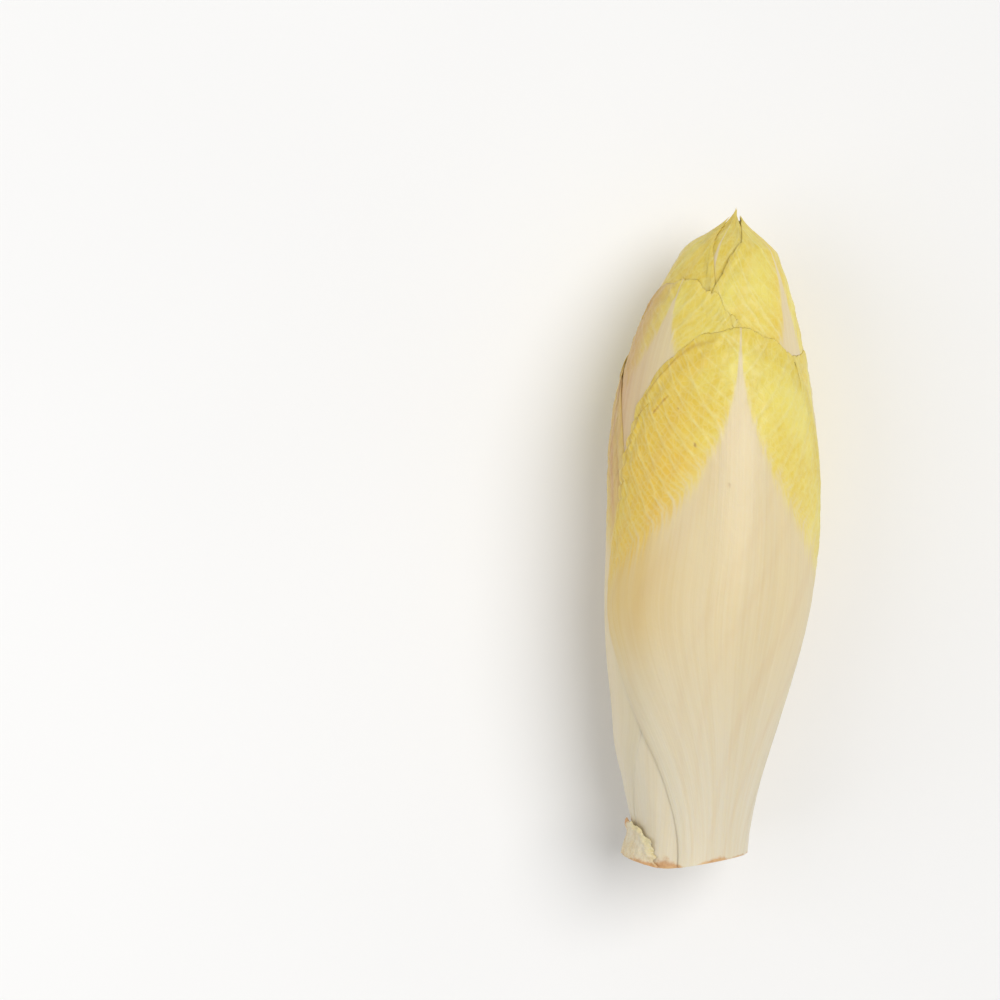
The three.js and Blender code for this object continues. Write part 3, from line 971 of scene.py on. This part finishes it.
def ringObject(name, points, poles, carried):
    # rings about the head's axis, closed by a point at each end;
    # carried holds the values on the rings and at the two end points
    rows, columns = points.shape[:2]
    ring = np.arange(rows * columns).reshape(rows, columns)
    after = np.roll(ring, -1, axis=1)
    faces = quads(ring[:-1], ring[1:], after[1:], after[:-1])
    first, last = rows * columns, rows * columns + 1
    faces += [[first, int(a), int(b)] for a, b in zip(ring[0], after[0])]
    faces += [[last, int(b), int(a)] for a, b in zip(ring[-1], after[-1])]
    obj = meshObject(name, np.concatenate([points.reshape(-1, 3), poles]).tolist(), faces)
    for key, (values, ends) in carried.items():
        setAttribute(obj, key, np.concatenate([values.reshape(rows * columns, *values.shape[2:]), ends]))
    return obj


def budRadius(azimuth, s):
    b = budPlan
    outer, _ = wallAround(leafCount, azimuth, s)
    lower = smooth(b["foot"] - 0.01, b["foot"] + b["lowerEnd"], s)
    upper = 1 - smooth(b["tip"] - b["upperEnd"], b["tip"] + 0.01, s)
    folds = 1 + 0.08 * cosine(5 * azimuth + 700 * s)
    folds = folds + 0.04 * cosine(9 * azimuth - 500 * s)
    return np.maximum(b["thinnest"], (outer - b["inset"]) * np.minimum(lower, upper) * b["fullness"] * folds)


def makeBud():
    b = budPlan
    stations = np.linspace(b["foot"], b["tip"], b["rings"])
    azimuth, s = np.meshgrid(np.arange(0, 360, b["sectorAngle"]), stations)
    along = (s - b["foot"]) / (b["tip"] - b["foot"])
    flatX, flatY = np.radians(azimuth) * b["flatRadius"] * mm, along * b["flatLength"] * mm
    flat = np.stack([flatX, flatY, np.zeros_like(s)], axis=-1)
    poles = np.stack([place(0.0, 0.0, b["foot"]), place(0.0, 0.0, b["tip"])])
    carried = {
        "along": (along, [0.0, 1.0]),
        "blade": (smooth(0.5, 0.95, along), [0.0, 1.0]),
        "flat": (flat, np.zeros((2, 3))),
    }
    bud = ringObject("heartBud", place(azimuth, budRadius(azimuth, s), s), poles, carried)
    finishPiece(bud, "heart_bud", skins["inner"])


makeBud()
print("bud made")


# The core and its cut face.

coreForm = {
    "gap": 0.06, "rings": 46, "sectors": 128, "sideRings": 24, "topPart": 0.94, "thinnest": 0.25,
    "knife": 0.05, "rimRound": 0.35,
    "bundles": (0.16, 0.72, 0.09),    # a ring of bundles: how proud in mm, where, how wide
    "hollow": (0.25, 0, 0.28),
    "rust": (0.75, 0.72, 0.12),
}


def cutFaceSkin(name, look):
    constants = {
        "Subsurface Weight": 0.15, "Subsurface Scale": 0.0015, "Subsurface Radius": (1.0, 0.75, 0.4),
        "Coat Weight": 0.1, "Coat Roughness": 0.3,
    }
    material, tree, shader = newMaterial(name, constants)
    ring = readAttribute(tree, "ring")
    face = readAttribute(tree, "face")
    cloud = effect(tree, "mottle", {"Scale": 260.0, "Detail": 4.0})
    grain = effect(tree, "mottle", {"Scale": 1600.0, "Detail": 4.0})
    cells = effect(tree, "cells", {"Vector": objectPlace(tree), "Scale": 1500.0, "Width": 0.2})
    rust = effect(tree, "browning", {"Where": ring, "Scale": 480.0, "Reach": look["rustReach"]})
    colour = layered(mixColour(cloud, look["flesh"], look["fleshDeep"]), [
        (cells, 0.35, look["fleshLight"]),
        (times(ring, grain), 0.5, look["bundle"]),
        (readAttribute(tree, "lip"), 0.7, look["lip"]),
        (times(rust, face), 0.8, look["rust"]),
    ])
    rough = linear(grain, 0.2, look["roughness"])
    finishSkin(tree, shader, colour, rough, linear(cells, 0.6, grain), 0.5, 0.12 * mm)
    return material


fleshLook = {
    "flesh": (0.78, 0.72, 0.52), "fleshDeep": (0.66, 0.57, 0.36), "fleshLight": (0.84, 0.80, 0.64),
    "bundle": (0.52, 0.38, 0.16), "rust": (0.46, 0.22, 0.08), "lip": (0.70, 0.60, 0.24),
    "rustReach": 0.12, "roughness": 0.42,
}


def makeCore():
    f = coreForm
    # the cut face from its middle outwards, then up the side to the point
    sideStations = np.linspace(0, headShape["coreTop"] * f["topPart"], f["sideRings"] + 1)[1:]
    parts = np.concatenate([np.linspace(0, 1, f["rings"] + 1)[1:], np.ones(f["sideRings"])])
    stations = np.concatenate([np.zeros(f["rings"]), sideStations])
    azimuth, part = np.meshgrid(np.arange(f["sectors"]) * 360 / f["sectors"], parts)
    s = np.repeat(stations[:, None], f["sectors"], axis=1)
    radius = np.maximum(f["thinnest"], coreProfile(s) - f["gap"]) * part
    onFace = (s == 0)
    # the knife leaves faint ridges, the bundles stand a little proud, and the rim is rounded
    knife = f["knife"] * ripple(radius * sine(azimuth) / 1.6, 71)
    relief = hump(part, *f["bundles"]) * (0.6 + 0.4 * cosine(11 * azimuth)) + knife
    relief = relief - hump(part, *f["hollow"]) - f["rimRound"] * smooth(0.86, 1, part)
    points = place(azimuth, radius, s)
    points[..., 1] -= onFace * relief * mm
    poles = np.stack([place(0.0, 0.0, 0.0), place(0.0, 0.0, stations[-1])])
    poles[0, 1] += 0.2 * mm    # the middle of the cut is the deepest
    rust = hump(part, *f["rust"]) + smooth(0.88, 1, part)
    carried = {"ring": (rust * onFace, [0.0, 0.0]), "face": (onFace.astype(float), [1.0, 0.0])}
    core = ringObject("coreFlesh", points, poles, carried)
    finishPiece(core, "core", cutFaceSkin("cutFlesh", fleshLook))


makeCore()
print("core made")


# What is left of the trimmed leaf.

trimForm = {
    "azimuth": 172.0, "halfWidth": 52.0, "top": 0.058, "lift": 0.004, "liftTurn": (145, 190),
    "narrowing": 0.14, "thickness": 1.3, "topThickness": 0.55, "rounding": 0.42, "gap": 0.12,
    "leanOut": 0.4, "ragged": 0.035,
    "lip": (0.35, 0.9, 0.07), "across": 120, "along": 44, "footRows": 6,
}
trimLook = {
    **fleshLook, "flesh": (0.80, 0.70, 0.50), "fleshDeep": (0.72, 0.57, 0.33),
    "fleshLight": (0.84, 0.77, 0.58), "bundle": (0.66, 0.46, 0.16), "rust": (0.62, 0.29, 0.09),
    "rustReach": 0.3,
}


def makeTrimmedLeaf():
    f = trimForm
    u, v = crowdedGrid(f)
    sides = 1 - f["rounding"] * np.abs(u) ** 2.5
    torn = 1 + f["ragged"] * ripple(u * 2.2, 31) + 0.2 * f["ragged"] * ripple(u * 8, 32)
    azimuth = f["azimuth"] + u * f["halfWidth"] * (1 - f["narrowing"] * v + 0.03 * ripple(v * 2 + u, 33))
    s = blend(f["lift"] * smooth(*f["liftTurn"], azimuth), f["top"] * sides * torn, v)
    out = rimMeasure(u, v)
    thickness = blend(f["thickness"], f["topThickness"], smooth(0, 1, v)) * sides
    thickness = thickness + hump(out, *f["lip"]) * smooth(0.1, 0.4, v)
    middle = skinRadius(azimuth, s) + f["gap"] + thickness / 2 + f["leanOut"] * smooth(0.55, 1, v)
    middle = middle + 0.1 * ripple(u * 4 + v, 34) + 0.05 * ripple(u * 9 + v * 3, 35)
    half = thickness / 2 * closing(out, 14)
    # it has browned most along the cut and at its highest corner, and has a greenish lip
    rim = 0.8 * np.exp(-v / 0.14) * blend(1, 0.35, smooth(-0.8, -0.2, u))
    rim = rim + 0.5 * smooth(0.6, 0.95, v) * smooth(-0.4, 0.1, u)
    lip = 0.6 * smooth(0.84, 0.98, out) * (1 - smooth(-0.5, 0.1, u)) * smooth(0.2, 0.5, v)
    carried = {"ring": np.clip(rim, 0, 1), "face": np.ones_like(u), "lip": lip}
    inside, outside = place(azimuth, middle - half, s), place(azimuth, middle + half, s)
    stub = shellObject("trimmedLeaf", outside, inside, carried, f["footRows"])
    finishPiece(stub, "trimmed_leaf", cutFaceSkin("driedStub", trimLook))


makeTrimmedLeaf()
print("trimmed leaf made")


# Floor, light and camera.

studio = {
    "floorColour": (0.92, 0.915, 0.905), "floorShade": 0.985, "floorHalf": 3.0, "floorDrop": 0.05 * mm,
    "worldStrength": 0.42, "backdrop": 0.84,
    "sunStrength": 1.75, "sunSpread": 40.0, "sunPlace": (0.42, 0.24, 0.9),
    "fillPower": 2.2, "fillSize": 0.9, "fillPlace": (-0.75, -0.1, 0.6),
}


def makeFloor():
    half, down = studio["floorHalf"], -studio["floorDrop"]
    corners = [(-half, -half, down), (half, -half, down), (half, half, down), (-half, half, down)]
    floor = meshObject("floor", corners, [(0, 1, 2, 3)])
    material, tree, shader = newMaterial("paleFloor", {"Roughness": 0.8})
    cloud = effect(tree, "mottle", {"Scale": 6.0, "Detail": 2.0})
    shade = tuple(c * studio["floorShade"] for c in studio["floorColour"])
    feed(tree, mixColour(cloud, studio["floorColour"], shade), shader.inputs["Base Color"])
    floor.data.materials.append(material)


def makeLight(name, kind, power, at):
    lamp = bpy.data.lights.new(name, kind)
    lamp.energy = power
    obj = addObject(name, lamp)
    obj.location = at
    obj.rotation_euler = (-obj.location).to_track_quat("-Z", "Y").to_euler()
    return lamp


def makeWorld():
    # lights the scene softly, and looks paler than it lights
    world = bpy.data.worlds.new("studioWorld")
    world.use_nodes = True
    tree = world.node_tree
    ambient = tree.nodes["Background"]
    feed(tree, (1, 1, 1), ambient.inputs["Color"])
    feed(tree, studio["worldStrength"], ambient.inputs["Strength"])
    seen = firstOut(tree, "ShaderNodeBackground", {"Color": (1, 1, 1), "Strength": studio["backdrop"]})
    rays = addNode(tree, "ShaderNodeLightPath").outputs["Is Camera Ray"]
    both = firstOut(tree, "ShaderNodeMixShader", {0: rays, 1: ambient.outputs[0], 2: seen})
    feed(tree, both, tree.nodes["World Output"].inputs["Surface"])
    return world


def makeStudio():
    makeFloor()
    sun = makeLight("key", "SUN", studio["sunStrength"], studio["sunPlace"])
    sun.angle = math.radians(studio["sunSpread"])
    fill = makeLight("fill", "AREA", studio["fillPower"], studio["fillPlace"])
    fill.size = studio["fillSize"]
    scene = bpy.context.scene
    scene.world = makeWorld()
    scene.view_settings.view_transform = "Standard"


# The camera looks straight down, with the head to the right of the middle and leaning right.
cameraForm = {
    "height": 0.9,           # above the surface
    "frameWidth": 0.2,       # what the picture takes in at the height of the head's axis
    "sensor": 36.0,
    "lean": 3.6,             # degrees that the head's tip leans to the right
    "baseToMiddle": 0.4884,  # the part of the head's length that the two distances below start from
    "headAside": 0.0412,     # the head's axis from the picture's middle, to the right
    "headBelow": 0.00854,    # and down
}


def makeCamera():
    f = cameraForm
    lens = bpy.data.cameras.new("camera")
    lens.sensor_width = f["sensor"]
    lens.lens = f["sensor"] * (f["height"] - axisZ) / f["frameWidth"]
    camera = addObject("camera", lens)
    turn = math.radians(f["lean"])
    x = -f["headAside"] * math.cos(turn) - f["headBelow"] * math.sin(turn)
    y = -f["headAside"] * math.sin(turn) + f["headBelow"] * math.cos(turn)
    camera.location = (axisX + x, baseY + f["baseToMiddle"] * headLength * mm + y, f["height"])
    camera.rotation_euler = (0, 0, turn)
    bpy.context.scene.camera = camera


makeStudio()
makeCamera()
print("studio made")
